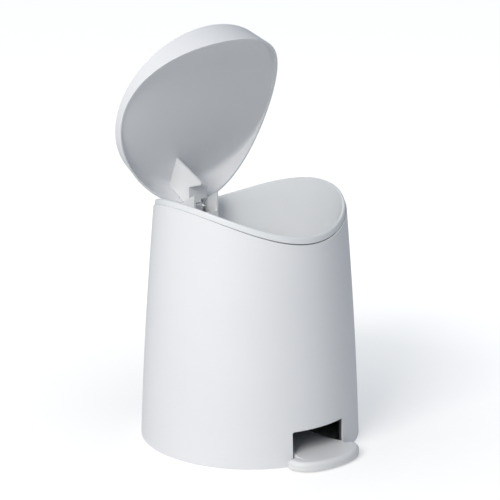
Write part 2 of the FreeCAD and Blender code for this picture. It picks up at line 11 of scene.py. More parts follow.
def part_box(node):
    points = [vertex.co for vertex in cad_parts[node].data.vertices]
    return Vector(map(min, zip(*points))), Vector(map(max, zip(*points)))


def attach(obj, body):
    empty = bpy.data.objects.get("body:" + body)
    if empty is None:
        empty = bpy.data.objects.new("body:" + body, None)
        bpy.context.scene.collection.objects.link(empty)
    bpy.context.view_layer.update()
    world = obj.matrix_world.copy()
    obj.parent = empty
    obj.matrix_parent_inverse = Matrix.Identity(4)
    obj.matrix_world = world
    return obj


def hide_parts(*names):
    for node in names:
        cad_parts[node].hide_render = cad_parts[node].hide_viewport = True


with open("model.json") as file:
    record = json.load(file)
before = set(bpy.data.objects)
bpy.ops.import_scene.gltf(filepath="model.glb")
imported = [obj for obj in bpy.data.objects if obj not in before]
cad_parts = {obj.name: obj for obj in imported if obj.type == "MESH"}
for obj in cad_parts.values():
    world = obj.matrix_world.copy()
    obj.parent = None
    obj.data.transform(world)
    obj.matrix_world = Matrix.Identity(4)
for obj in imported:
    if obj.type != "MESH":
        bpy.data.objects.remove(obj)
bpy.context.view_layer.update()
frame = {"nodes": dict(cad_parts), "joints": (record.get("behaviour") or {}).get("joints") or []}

# ---------------------------------------------------------------- outer shell
# The shell is one injection moulding in white polypropylene, open at both ends. Its side tapers and
# bows a little, the rim is cut to a saddle by a cylinder lying across it, and the foot has a notch for
# the pedal. Three screws come in through flats sunk in its back.

FOOT_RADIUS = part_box("outer_shell")[1][0]
RIM_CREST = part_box("outer_shell")[1][2]
TAPER_HEIGHT = 0.236
TAPER_TOP_RADIUS = 0.08332
TAPER_BOW = 4.2
RIM_RADIUS = 0.1524
RIM_SHIFT = 0.001
SHELL_WALL = 0.002
NOTCH_HALF = 0.029
NOTCH_TOP = 0.0305
NOTCH_CORNER = 0.0018
BACK_SCREW_PLACES = ((-0.0062, 0.0886, 0.168), (0.0062, 0.0886, 0.168), (0.0, 0.0942, 0.100))
SCREW_SEAT_RADIUS = 0.0036
SCREW_SHANK_RADIUS = 0.0015
NOTCH_CUT = 0.06
SCREW_CUT = 0.02
SHELL_EDGE = 0.0005
SOFT_ANGLE = math.radians(34)
COLUMNS = 360
ROWS = 42


def linear(colour):
    """Linear RGBA of an sRGB hex colour."""
    parts = [int(colour[place:place + 2], 16) / 255 for place in (1, 3, 5)]
    curved = [part / 12.92 if part <= 0.04045 else ((part + 0.055) / 1.055) ** 2.4 for part in parts]
    return curved + [1.0]


def add(tree, kind, *inputs, named=None, **settings):
    """Add a node. Inputs come in order, or by name, each a value, a socket or another node."""
    made = tree.nodes.new(kind)
    for name, value in settings.items():
        setattr(made, name, value)
    for key, value in [*enumerate(inputs), *(named or {}).items()]:
        if isinstance(value, bpy.types.Node):
            value = value.outputs[0]
        if isinstance(value, bpy.types.NodeSocket):
            tree.links.new(value, made.inputs[key])
        else:
            made.inputs[key].default_value = value
    return made


def moulded_plastic(name, colour, shade, roughness, grain, flow=0.07):
    """Injection-moulded plastic: satin, with a spark-eroded grain and faint flow marks. Grain and flow
    are the sizes of the two patterns in metres; shade is the colour that the flow marks lean to."""
    material = bpy.data.materials.new(name)
    material.use_nodes = True
    tree = material.node_tree
    surface = tree.nodes["Principled BSDF"]
    place = add(tree, "ShaderNodeTexCoord").outputs["Object"]
    marks = add(tree, "ShaderNodeTexNoise", named={"Vector": place, "Scale": 1 / flow, "Detail": 3.0})
    pits = add(tree, "ShaderNodeTexNoise", named={"Vector": place, "Scale": 1 / grain, "Detail": 2.0})
    tint = add(tree, "ShaderNodeMix", marks.outputs["Fac"], data_type="RGBA")
    tint.inputs[6].default_value = linear(colour)
    tint.inputs[7].default_value = linear(shade)
    tree.links.new(tint.outputs[2], surface.inputs["Base Color"])
    sheen = add(tree, "ShaderNodeMapRange", marks.outputs["Fac"],
                named={"To Min": roughness - 0.05, "To Max": roughness + 0.05})
    tree.links.new(sheen.outputs[0], surface.inputs["Roughness"])
    relief = add(tree, "ShaderNodeBump", named={"Height": pits.outputs["Fac"], "Strength": 0.35,
                                                "Distance": grain / 30})
    tree.links.new(relief.outputs[0], surface.inputs["Normal"])
    surface.inputs["IOR"].default_value = 1.49
    return material


def taper(height):
    """Radius of the bin's outer face: a straight taper that bows outwards."""
    share = height / TAPER_HEIGHT
    bow = height * (TAPER_HEIGHT - height) / (2 * TAPER_BOW)
    return FOOT_RADIUS + share * (TAPER_TOP_RADIUS - FOOT_RADIUS) + bow


def tapered_wall_tree():
    """Geometry nodes for a round tapered wall, from the floor up to a saddle rim."""
    tree = bpy.data.node_groups.new("tapered wall under a saddle rim", "GeometryNodeTree")
    tree.interface.new_socket("Geometry", in_out="OUTPUT", socket_type="NodeSocketGeometry")
    for name, kind in (("Columns", "NodeSocketInt"), ("Rows", "NodeSocketInt"),
                       ("Foot Radius", "NodeSocketFloat"), ("Top Radius", "NodeSocketFloat"),
                       ("Taper Height", "NodeSocketFloat"), ("Bow", "NodeSocketFloat"),
                       ("Rim Radius", "NodeSocketFloat"), ("Rim Shift", "NodeSocketFloat"),
                       ("Rim Crest", "NodeSocketFloat"), ("Material", "NodeSocketMaterial")):
        tree.interface.new_socket(name, in_out="INPUT", socket_type=kind)
    given = tree.nodes.new("NodeGroupInput").outputs
    math_node = "ShaderNodeMath"
    grid = add(tree, "GeometryNodeMeshGrid", 1.0, 1.0, given["Columns"], given["Rows"])
    spot = add(tree, "ShaderNodeSeparateXYZ", add(tree, "GeometryNodeInputPosition"))
    turn = add(tree, math_node, spot.outputs["X"], math.tau, operation="MULTIPLY")
    half_column = add(tree, math_node, math.pi, given["Columns"], operation="DIVIDE")
    angle = add(tree, math_node, turn, half_column, operation="ADD")
    share = add(tree, math_node, spot.outputs["Y"], 0.5, operation="ADD")
    cosine = add(tree, math_node, angle, operation="COSINE")
    sine = add(tree, math_node, angle, operation="SINE")
    slope = add(tree, math_node, add(tree, math_node, given["Top Radius"], given["Foot Radius"],
                                     operation="SUBTRACT"), given["Taper Height"], operation="DIVIDE")
    bend = add(tree, math_node, 0.5, given["Bow"], operation="DIVIDE")
    centre = add(tree, math_node, given["Rim Crest"], given["Rim Radius"], operation="SUBTRACT")

    def side(height):
        """Radius of the wall at a height."""
        left = add(tree, math_node, given["Taper Height"], height, operation="SUBTRACT")
        belly = add(tree, math_node, add(tree, math_node, left, height, operation="MULTIPLY"), bend,
                    operation="MULTIPLY")
        straight = add(tree, math_node, slope, height, given["Foot Radius"], operation="MULTIPLY_ADD")
        return add(tree, math_node, straight, belly, operation="ADD")

    rim = given["Rim Crest"]
    for _ in range(5):
        depth = add(tree, math_node, side(rim), cosine, given["Rim Shift"], operation="MULTIPLY_ADD")
        squares = [add(tree, math_node, length, length, operation="MULTIPLY")
                   for length in (given["Rim Radius"], depth)]
        rise = add(tree, math_node, add(tree, math_node, *squares, operation="SUBTRACT"),
                   operation="SQRT")
        rim = add(tree, math_node, centre, rise, operation="ADD")
    height = add(tree, math_node, share, rim, operation="MULTIPLY")
    radius = side(height)
    across = add(tree, math_node, radius, sine, operation="MULTIPLY")
    backwards = add(tree, math_node, add(tree, math_node, radius, cosine, operation="MULTIPLY"), -1.0,
                    operation="MULTIPLY")
    wrapped = add(tree, "ShaderNodeCombineXYZ", across, backwards, height)
    moved = add(tree, "GeometryNodeSetPosition", named={"Geometry": grid, "Position": wrapped})
    closed = add(tree, "GeometryNodeMergeByDistance", named={"Geometry": moved, "Distance": 1e-6})
    real = add(tree, "GeometryNodeRealizeInstances", named={"Geometry": closed})
    painted = add(tree, "GeometryNodeSetMaterial",
                  named={"Geometry": real, "Material": given["Material"]})
    add(tree, "NodeGroupOutput", painted)
    return tree


def new_piece(name, mesh, material):
    """Object at the origin that holds a mesh."""
    piece = bpy.data.objects.new(name, mesh)
    bpy.context.scene.collection.objects.link(piece)
    if material:
        mesh.materials.clear()
        mesh.materials.append(material)
    return piece


def modify(piece, kind, **settings):
    """Put a modifier on a piece."""
    modifier = piece.modifiers.new(kind.title(), kind)
    for name, value in settings.items():
        setattr(modifier, name, value)
    return modifier


def settle(piece):
    """Turn a piece with its modifiers into a plain mesh."""
    bpy.context.view_layer.update()
    graph = bpy.context.evaluated_depsgraph_get()
    mesh = bpy.data.meshes.new_from_object(piece.evaluated_get(graph), depsgraph=graph)
    piece.modifiers.clear()
    piece.data = mesh
    mesh.name = piece.name


def carve(piece, operation, *tools):
    """Cut, join or intersect a piece with tool meshes, which are used up."""
    for tool in tools:
        modify(piece, "BOOLEAN", operation=operation, object=tool, solver="EXACT")
        settle(piece)
        bpy.data.objects.remove(tool)


def soften(piece, width, segments=3):
    """Round every crisp edge, as a mould's does, and shade the flat faces flat."""
    modify(piece, "BEVEL", width=width, segments=segments, limit_method="ANGLE", angle_limit=SOFT_ANGLE,
           use_clamp_overlap=True, harden_normals=False)
    settle(piece)
    for face in piece.data.polygons:
        face.use_smooth = True
    piece.data.set_sharp_from_angle(angle=SOFT_ANGLE)
    modify(piece, "WEIGHTED_NORMAL", keep_sharp=True, weight=80)
    settle(piece)


def prism(name, corners, depth, start, frame_matrix):
    """Closed prism: an outline in a plane, given depth along the plane's normal and then placed."""
    shape = bmesh.new()
    rings = [[shape.verts.new((x, y, level)) for x, y in corners] for level in (start, start + depth)]
    shape.faces.new(rings[0][::-1])
    shape.faces.new(rings[1])
    for index in range(len(corners)):
        after = (index + 1) % len(corners)
        shape.faces.new((rings[0][index], rings[0][after], rings[1][after], rings[1][index]))
    shape.transform(frame_matrix)
    bmesh.ops.recalc_face_normals(shape, faces=shape.faces)
    mesh = bpy.data.meshes.new(name)
    shape.to_mesh(mesh)
    shape.free()
    return new_piece(name, mesh, None)


def arc(centre, radius, start, end, steps):
    """Points along an arc, in degrees."""
    angles = [math.radians(start + (end - start) * step / steps) for step in range(steps + 1)]
    x, y = centre
    return [(x + radius * math.cos(angle), y + radius * math.sin(angle)) for angle in angles]


def circle(radius, steps=48):
    """Outline of a full circle about the origin."""
    return arc((0, 0), radius, 0, 360 - 360 / steps, steps - 1)


def box(name, low, high):
    """Closed box between two corners."""
    corners = [(low[0], low[1]), (high[0], low[1]), (high[0], high[1]), (low[0], high[1])]
    return prism(name, corners, high[2] - low[2], low[2], Matrix.Identity(4))


# planes whose normals are -Y, +X and +Y, for outlines drawn as (x, z), (y, z) and (x, z)
FACING_FRONT = Matrix.Rotation(math.pi / 2, 4, "X")
FACING_RIGHT = Matrix(((0, 0, 1, 0), (1, 0, 0, 0), (0, 1, 0, 0), (0, 0, 0, 1)))

# satin, so that the key light spreads softly along the wall with no sharp reflection
white_polypropylene = moulded_plastic("white polypropylene, satin moulded", "#EDEEF0", "#E8E9EC",
                                      roughness=0.42, grain=0.0007)

shell = new_piece("shell_moulding", bpy.data.meshes.new("shell_moulding"), None)
wall_tree = tapered_wall_tree()
wall_nodes = modify(shell, "NODES", node_group=wall_tree)
wall_sizes = {"Columns": COLUMNS + 1, "Rows": ROWS, "Foot Radius": FOOT_RADIUS,
              "Top Radius": TAPER_TOP_RADIUS, "Taper Height": TAPER_HEIGHT, "Bow": TAPER_BOW,
              "Rim Radius": RIM_RADIUS, "Rim Shift": RIM_SHIFT, "Rim Crest": RIM_CREST,
              "Material": white_polypropylene}
for socket in wall_tree.interface.items_tree:
    if socket.in_out == "INPUT":
        wall_nodes[socket.identifier] = wall_sizes[socket.name]
settle(shell)
modify(shell, "SOLIDIFY", thickness=SHELL_WALL, offset=-1, use_even_offset=True)
settle(shell)
notch_corners = [(-NOTCH_HALF, -0.01), (NOTCH_HALF, -0.01)]
notch_corners += arc((NOTCH_HALF - NOTCH_CORNER, NOTCH_TOP - NOTCH_CORNER), NOTCH_CORNER, 0, 90, 6)
notch_corners += arc((NOTCH_CORNER - NOTCH_HALF, NOTCH_TOP - NOTCH_CORNER), NOTCH_CORNER, 90, 180, 6)
cutters = [prism("notch", notch_corners, NOTCH_CUT, NOTCH_CUT, FACING_FRONT)]
for across, seat, up in BACK_SCREW_PLACES:
    place = Matrix.Translation((across, 0, up)) @ FACING_FRONT
    cutters.append(prism("seat", circle(SCREW_SEAT_RADIUS), SCREW_CUT, -seat - SCREW_CUT, place))
    cutters.append(prism("hole", circle(SCREW_SHANK_RADIUS, 24), SCREW_CUT, -seat - SCREW_CUT / 2, place))
carve(shell, "DIFFERENCE", *cutters)
soften(shell, SHELL_EDGE)
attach(shell, "bin")
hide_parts("outer_shell")

# ---------------------------------------------------------------- bucket
# The bucket is a thin white polypropylene moulding that lifts out. Its lip stands on the shell's rim,
# just inside the shell's face, with a rounded top. A narrow shaft pressed into its back leaves room for
# the hinge arm and the push rod.

LIP_RISE = 0.0047
LIP_INSET = 0.0011
LIP_WIDTH = 0.0026
LIP_FLARE = 0.014
BUCKET_WALL = 0.0017
BUCKET_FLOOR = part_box("inner_bucket")[0][2]
BUCKET_FOOT = (0.074, 0.076)
BUCKET_TOP = (0.0826, 0.085)
BUCKET_FILLET = 0.008
BUCKET_SIDE_LOW = 0.06
BUCKET_EDGE = 0.0004
LIP_ROUND = 0.0012
LIP_CAP = 0.006
LIP_SHOULDER = 0.0013
SHAFT_HALF = 0.0122
SHAFT_FRONT = 0.066
SHAFT_LIP = 0.1925
SHAFT_MOUTH = 0.03
ROOM_TOP = 0.26
PAST_BACK, PAST_TOP = 0.12, 0.3


def saddle(radius, crest, shift=RIM_SHIFT):
    """Height, over a depth y, of a cylinder lying across the bin."""
    return lambda depth: crest - radius + math.sqrt(radius ** 2 - (depth - shift) ** 2)


def meeting(side, trim, angle):
    """Radius and height where a side of the body meets a trimming cylinder."""
    height = 0.2
    for _ in range(8):
        height = trim(-side(height) * math.cos(angle))
    return side(height), height


def rounded(corners, steps=4):
    """Section line from (radius, height) or (radius, height, fillet) corners, rounded where asked."""
    points = []
    for index, (x, y, *fillet) in enumerate(corners):
        if not fillet:
            points.append((x, y))
            continue
        corner = Vector((x, y))
        ends = []
        for other in (corners[index - 1], corners[index + 1]):
            way = Vector(other[:2]) - corner
            ends.append(corner + way.normalized() * min(fillet[0], way.length * 0.48))
        for step in range(steps + 1):
            share = step / steps
            point = ends[0] * (1 - share) ** 2 + corner * 2 * share * (1 - share) + ends[1] * share ** 2
            points.append(tuple(point))
    return points


def swept(name, section, material, columns=COLUMNS):
    """Closed solid from a section line at each angle, from the axis below to the axis above."""
    shape = bmesh.new()
    rings = []
    for column in range(columns):
        angle = math.tau * (column + 0.5) / columns
        line = section(angle)
        rings.append([shape.verts.new((radius * math.sin(angle), -radius * math.cos(angle), height))
                      for radius, height in line[1:-1]])
    poles = [shape.verts.new((0, 0, line[end][1])) for end in (0, -1)]
    for index, ring in enumerate(rings):
        after = rings[(index + 1) % columns]
        shape.faces.new((poles[0], after[0], ring[0]))
        shape.faces.new((poles[1], ring[-1], after[-1]))
        for low in range(len(ring) - 1):
            shape.faces.new((ring[low], after[low], after[low + 1], ring[low + 1]))
    mesh = bpy.data.meshes.new(name)
    shape.to_mesh(mesh)
    shape.free()
    return new_piece(name, mesh, material)


def oval(angle, height, inset=0.0):
    """Radius of the bucket's oval side at an angle and a height."""
    share = (height - BUCKET_FLOOR) / (TAPER_HEIGHT - BUCKET_FLOOR)
    across, along = (foot + (top - foot) * share - inset for foot, top in zip(BUCKET_FOOT, BUCKET_TOP))
    return 1 / math.hypot(math.sin(angle) / across, math.cos(angle) / along)


def spaced(start, end, count, radius_at):
    """Points up or down a side, ends left out."""
    heights = [start + (end - start) * step / count for step in range(1, count)]
    return [(radius_at(height), height) for height in heights]


def lip_side(height):
    """Outer side of the bucket's lip."""
    return taper(height) - LIP_INSET


shell_rim = saddle(RIM_RADIUS, RIM_CREST)
lip_top = saddle(RIM_RADIUS, RIM_CREST + LIP_RISE)


def bucket_outside(angle):
    """Section of the bucket's outer face, closed over the top of the lip."""
    lip_radius, lip_low = meeting(lip_side, shell_rim, angle)
    side_radius, side_high = meeting(lambda height: oval(angle, height), shell_rim, angle)
    top_radius, top = meeting(lip_side, lip_top, angle)
    line = rounded([(0.0, BUCKET_FLOOR), (oval(angle, BUCKET_FLOOR), BUCKET_FLOOR, BUCKET_FILLET),
                    (oval(angle, BUCKET_SIDE_LOW), BUCKET_SIDE_LOW)])
    line += spaced(BUCKET_SIDE_LOW, side_high, 24, lambda height: oval(angle, height))
    line += [(min(side_radius, lip_radius - 2e-4), side_high)]
    cap = top_radius - LIP_CAP
    line += rounded([(lip_radius - 1e-4, lip_low), (lip_radius, lip_low), (top_radius, top, LIP_ROUND),
                     (cap, lip_top(-cap * math.cos(angle)))], 6)
    steps = 12
    for step in range(1, steps + 1):
        radius = cap * (1 - step / steps)
        line.append((radius, lip_top(-radius * math.cos(angle))))
    return line


def bucket_room(angle):
    """Section of the room inside: an oval that flares out to the lip's rounded inner edge."""
    top_radius, top = meeting(lip_side, lip_top, angle)
    floor = BUCKET_FLOOR + BUCKET_WALL
    mouth = top_radius - LIP_WIDTH

    def inner(height):
        """Radius of the inner face."""
        flare = max(0.0, 1 - (top - height) / LIP_FLARE) ** 2
        plain = oval(angle, height, BUCKET_WALL)
        return plain + (mouth - plain) * flare
    shoulder = top - LIP_SHOULDER
    line = rounded([(0.0, floor), (oval(angle, floor, BUCKET_WALL), floor, BUCKET_FILLET),
                    (inner(BUCKET_SIDE_LOW), BUCKET_SIDE_LOW)], 6)
    line += spaced(BUCKET_SIDE_LOW, top - LIP_FLARE, 20, inner)
    line += spaced(top - LIP_FLARE, shoulder, 7, inner)
    line += rounded([(inner(shoulder), shoulder), (mouth, top, LIP_ROUND),
                     (mouth + LIP_SHOULDER, top + 1e-4)], 5)
    line += [(mouth + LIP_SHOULDER + 3e-4, ROOM_TOP), (0.0, ROOM_TOP)]
    return line


# a little glossier than the shell, as the bucket has to wipe clean
bucket_white = moulded_plastic("bucket polypropylene, satin moulded", "#EBEDEF", "#E6E8EA",
                               roughness=0.38, grain=0.0007)
bucket = swept("bucket_moulding", bucket_outside, bucket_white)
room = swept("bucket_room", bucket_room, None)
shaft_side = SHAFT_HALF + BUCKET_WALL
carve(room, "DIFFERENCE", box("shaft_wall", (-shaft_side, SHAFT_FRONT - BUCKET_WALL, 0.0),
                              (shaft_side, PAST_BACK, PAST_TOP)))
shaft_far = (SHAFT_HALF, PAST_BACK, PAST_TOP)
carve(bucket, "DIFFERENCE", room,
      box("shaft", (-SHAFT_HALF, SHAFT_FRONT, 0.0), shaft_far),
      box("shaft_mouth", (-SHAFT_HALF, SHAFT_FRONT - SHAFT_MOUTH, SHAFT_LIP), shaft_far))
soften(bucket, BUCKET_EDGE)
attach(bucket, "bin")
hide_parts("inner_bucket")

# ---------------------------------------------------------------- lid
# The lid is one white polypropylene moulding: a skirt that carries on the shell's taper, and a flat
# panel set down inside it, with a wide fillet between them underneath. It is drawn closed and then
# swung open about the hinge pin, and it has two studs for the arm's screws.

LID_RAISE = 0.0054
LID_RIM_RADIUS = 0.155
LID_RIM_CREST = 0.22475
LID_TOP_RADIUS = 1.19
LID_TOP_SHIFT = 0.0113
LID_TOP_CREST = 0.2343
LID_OPEN = math.radians(65.93)
PANEL_TOP = 0.2274
PANEL_UNDER = 0.2254
PANEL_FILLET = 0.007
PANEL_EDGE_FILLET = 0.0015
SKIRT_EDGE = 0.0015
SKIRT_INNER_ROUND, SKIRT_OUTER_ROUND = 0.0006, 0.0008
LID_EDGE = 0.0004
GAP_HALF = 0.0114
GAP_TOP = 0.2076
GAP_FRONT = 0.0656
GAP_CUT = 0.05
HINGE = Vector([joint for joint in frame["joints"] if joint["name"] == "lid_hinge"][0]["pos_m"])
STUD_ACROSS = -0.0044
STUD_PLACES = (0.0193, 0.0119)
STUD_RADIUS = 0.0034
STUD_LOW = 0.0155
STUD_ROOT = 0.001
OPENING = Matrix.Translation(HINGE) @ Matrix.Rotation(-LID_OPEN, 4, "X") @ Matrix.Translation(-HINGE)

lid_rim = saddle(LID_RIM_RADIUS, LID_RIM_CREST)
lid_crown = saddle(LID_TOP_RADIUS, LID_TOP_CREST, LID_TOP_SHIFT)


def lid_outer(height):
    """Outer side of the lid's skirt."""
    return taper(height - LID_RAISE)


def lid_inner(height):
    """Inner side of the lid's skirt."""
    return lid_outer(height) - SHELL_WALL


def lid_section(angle):
    """Section of the lid, from the middle of the panel's underside round the skirt to its top."""
    inner_low = meeting(lid_inner, lid_rim, angle)
    outer_low = meeting(lid_outer, lid_rim, angle)
    outer_high = meeting(lid_outer, lid_crown, angle)
    inner_high = meeting(lid_inner, lid_crown, angle)
    below, above = lid_inner(PANEL_UNDER), lid_inner(PANEL_TOP)
    drop = PANEL_UNDER - inner_low[1]
    fillet = min(PANEL_FILLET, 0.9 * drop)
    lip = inner_low[1] + min(SKIRT_EDGE, 0.3 * drop)
    fillet_end = PANEL_UNDER - 0.95 * drop
    skirt_low, skirt_high = outer_low[1] + SKIRT_EDGE, outer_high[1] - SKIRT_EDGE
    line = [(below * share / 5, PANEL_UNDER) for share in range(5)]
    line += rounded([(below - 2 * PANEL_FILLET, PANEL_UNDER), (below, PANEL_UNDER, fillet),
                     (lid_inner(fillet_end), fillet_end)], 8)[:-1]
    line += rounded([(lid_inner(lip), lip), (*inner_low, SKIRT_INNER_ROUND),
                     (*outer_low, SKIRT_OUTER_ROUND), (lid_outer(skirt_low), skirt_low)])
    line += spaced(skirt_low, skirt_high, 8, lid_outer)
    line += rounded([(lid_outer(skirt_high), skirt_high), (*outer_high, SKIRT_OUTER_ROUND),
                     (*inner_high, SKIRT_OUTER_ROUND), (above, PANEL_TOP, PANEL_EDGE_FILLET),
                     (above * 0.9, PANEL_TOP)])
    line += [(above * share / 5, PANEL_TOP) for share in (4, 3, 2, 1, 0)]
    return line


lid = swept("lid_moulding", lid_section, white_polypropylene)
carve(lid, "DIFFERENCE", box("hinge_gap", (-GAP_HALF, GAP_FRONT, GAP_TOP - GAP_CUT),
                             (GAP_HALF, PAST_BACK, GAP_TOP)))
for reach in STUD_PLACES:
    place = Matrix.Translation((STUD_ACROSS, HINGE.y - reach, 0))
    stud_foot = HINGE.z + STUD_LOW
    stud = prism("stud", circle(STUD_RADIUS), PANEL_UNDER + STUD_ROOT - stud_foot, stud_foot, place)
    carve(lid, "UNION", stud)
soften(lid, LID_EDGE)
lid.data.transform(OPENING)
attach(lid, "lid")
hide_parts("lid_cover")

# ---------------------------------------------------------------- hinge arm
# The arm is a white polypropylene moulding under the lid: a hooked left plate with a flange for the
# screws, a short right plate, a web low down and a nose that rests on the push rod. Its edges are
# rounded by the mould, so it is the CAD shape with small fillets.


def softened(name, node, width, material, body):
    """The shape of a CAD node with its crisp edges rounded, which stands for the node."""
    shape = bmesh.new()
    shape.from_mesh(frame["nodes"][node].data)
    bmesh.ops.remove_doubles(shape, verts=shape.verts, dist=1e-6)
    bmesh.ops.dissolve_limit(shape, angle_limit=math.radians(1), verts=shape.verts, edges=shape.edges)
    mesh = bpy.data.meshes.new(name)
    shape.to_mesh(mesh)
    shape.free()
    piece = new_piece(name, mesh, material)
    soften(piece, width)
    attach(piece, body)
    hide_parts(node)
    return piece


ARM_EDGE = 0.00035
# a cleaner white than the shell, as it stays out of the light and the dirt
arm_white = moulded_plastic("arm polypropylene, satin moulded", "#EFF0F1", "#EAEBED",
                            roughness=0.40, grain=0.0006)
arm = softened("arm_moulding", "hinge_arm", ARM_EDGE, arm_white, "lid")

# ---------------------------------------------------------------- pedal
# The pedal is a white polypropylene moulding. Its toe plate is a flattened oval with a pillowed top
# edge; a hollow neck runs in through the notch to a hub on the axle, and a lever behind the hub lifts
# the push rod.

TOE_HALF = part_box("pedal_lever")[1][0]
TOE_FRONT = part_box("pedal_lever")[0][1]
TOE_WIDEST = -0.0995
TOE_BACK = -0.0966
TOE_CORNER = 0.0035
TOE_POWER = 2.25
TOE_LOW, TOE_TOP = 0.0012, 0.0091
TOE_ROUND, TOE_DROP = 0.0044, 0.0036
TOE_FOOT_ROUND = 0.0007
NECK_TOP, NECK_LOW = 0.010, 0.003
NECK_HALF, NECK_FLARE_WIDTH = 0.0215, 0.0055
NECK_FLARE_START, NECK_FLARE_END = -0.072, -0.0946
NECK_TOE = -0.112
NECK_BLANK = 0.02
NECK_TOE_DROP = 0.0002
NECK_SKIN, RIB, SPINE_HALF = 0.003, 0.0024, 0.0012
PIVOT = Vector([joint for joint in frame["joints"] if joint["name"] == "pedal_pivot"][0]["pos_m"])
HUB_RADIUS, HUB_HALF, HUB_BORE = 0.0065, 0.024, 0.00255
LEVER_HALF, LEVER_THICK, LEVER_KNEE = 0.007, 0.005, 0.074
LEVER_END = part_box("pedal_lever")[1][1]
LEVER_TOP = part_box("pedal_lever")[1][2]
PEDAL_EDGE = 0.0006
PAST_PEDAL = 0.01


def toe_outline():
    """Plan of the toe plate: a flattened oval, cut straight along the shell."""
    depth = TOE_WIDEST - TOE_FRONT
    points = []
    for step in range(61):
        angle = math.pi * step / 60
        x = math.copysign(abs(math.cos(angle)) ** (2 / TOE_POWER), math.cos(angle)) * TOE_HALF
        points.append((x, TOE_WIDEST - depth * math.sin(angle) ** (2 / TOE_POWER)))
    points = points[::-1]
    centre = (TOE_HALF - TOE_CORNER, TOE_WIDEST)
    quarter = [(centre[0] + TOE_CORNER * math.cos(math.radians(turn)),
                TOE_WIDEST + (TOE_BACK - TOE_WIDEST) * math.sin(math.radians(turn)))
               for turn in range(15, 91, 15)]
    return points + quarter + [(-x, y) for x, y in quarter[::-1]]


def toe_plate():
    """The toe plate: rings up its side and over the pillowed edge, and a face above and below."""
    middle = (TOE_FRONT + TOE_BACK) / 2
    half = (TOE_BACK - TOE_FRONT) / 2
    levels = [(TOE_FOOT_ROUND, TOE_LOW), (TOE_FOOT_ROUND * 0.3, TOE_LOW + TOE_FOOT_ROUND * 0.3),
              (0.0, TOE_LOW + TOE_FOOT_ROUND), (0.0, TOE_TOP - TOE_DROP)]
    for turn in range(10, 91, 10):
        levels.append((TOE_ROUND * (1 - math.cos(math.radians(turn))),
                       TOE_TOP - TOE_DROP * (1 - math.sin(math.radians(turn)))))
    shape = bmesh.new()
    rings = []
    for inset, height in levels:
        rings.append([shape.verts.new((x * (1 - inset / TOE_HALF),
                                       middle + (y - middle) * (1 - inset / half), height))
                      for x, y in toe_outline()])
    shape.faces.new(rings[0][::-1])
    shape.faces.new(rings[-1])
    for low, high in zip(rings, rings[1:]):
        for index in range(len(low)):
            after = (index + 1) % len(low)
            shape.faces.new((low[index], low[after], high[after], high[index]))
    bmesh.ops.recalc_face_normals(shape, faces=shape.faces)
    mesh = bpy.data.meshes.new("pedal_moulding")
    shape.to_mesh(mesh)
    shape.free()
    return mesh


def neck():
    """The hollow neck: its plan flares to the toe plate and its top slopes down into it."""
    plan = []
    for step in range(11):
        share = step / 10
        width = NECK_HALF + NECK_FLARE_WIDTH * share ** 2
        plan.append((width, NECK_FLARE_START + (NECK_FLARE_END - NECK_FLARE_START) * share))
    widest = NECK_HALF + NECK_FLARE_WIDTH
    plan = [(NECK_HALF, PIVOT.y)] + plan + [(widest, NECK_TOE)]
    plan += [(-x, y) for x, y in plan[::-1]]
    whole = prism("neck", plan, NECK_BLANK, 0.0, Matrix.Identity(4))
    profile = [(NECK_TOE, NECK_LOW), (PIVOT.y, NECK_LOW), (PIVOT.y, NECK_TOP), (TOE_BACK, NECK_TOP),
               (NECK_TOE, TOE_TOP - NECK_TOE_DROP)]
    side = widest + PAST_PEDAL
    carve(whole, "INTERSECT", prism("neck_profile", profile, 2 * side, -side, FACING_RIGHT))
    inner = NECK_HALF - RIB
    carve(whole, "DIFFERENCE", box("neck_hollow", (-inner, NECK_FLARE_END, -PAST_PEDAL),
                                   (inner, PIVOT.y + 2 * PAST_PEDAL, NECK_TOP - NECK_SKIN)))
    return whole


def lying(radius, half, centre, name):
    """Cylinder along X about a centre."""
    place = Matrix.Translation((0, centre.y, centre.z)) @ FACING_RIGHT
    return prism(name, circle(radius), 2 * half, -half, place)


# coarser and slightly greyer than the shell, as a pedal is moulded rough for grip and gets trodden on
pedal_white = moulded_plastic("pedal polypropylene, satin moulded", "#E9E9EA", "#E3E4E6",
                              roughness=0.36, grain=0.0008)
pedal = new_piece("pedal_moulding", toe_plate(), pedal_white)
lever_profile = [(PIVOT.y, PIVOT.z - HUB_RADIUS), (LEVER_KNEE, LEVER_TOP - LEVER_THICK),
                 (LEVER_END, LEVER_TOP - LEVER_THICK), (LEVER_END, LEVER_TOP), (LEVER_KNEE, LEVER_TOP),
                 (PIVOT.y, PIVOT.z + HUB_RADIUS)]
spine = box("spine", (-SPINE_HALF, NECK_FLARE_END, NECK_LOW),
            (SPINE_HALF, PIVOT.y, NECK_TOP - NECK_SKIN / 2))
carve(pedal, "UNION", neck(), spine,
      lying(HUB_RADIUS, HUB_HALF, PIVOT, "hub"),
      prism("lever", lever_profile, 2 * LEVER_HALF, -LEVER_HALF, FACING_RIGHT))
carve(pedal, "DIFFERENCE", lying(HUB_BORE, HUB_HALF + PAST_PEDAL, PIVOT, "hub_bore"))
soften(pedal, PEDAL_EDGE)
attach(pedal, "pedal")
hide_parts("pedal_lever")

# ---------------------------------------------------------------- base insert
# The base is a polypropylene moulding pressed into the shell's foot. It closes the foot under the bucket
# and carries the axle between two cheeks; its dark grey is painted shade for the deep shadow in the
# notch.

BASE_EDGE = 0.0004
# matt and dark grey as painted shade, so that the opening for the pedal stays dark
dark_grey_painted_shade = moulded_plastic("painted shade, dark grey matt polypropylene", "#5C626B", "#525860",
                            roughness=0.55, grain=0.0009)
base = softened("base_moulding", "base_frame", BASE_EDGE, dark_grey_painted_shade, "bin")

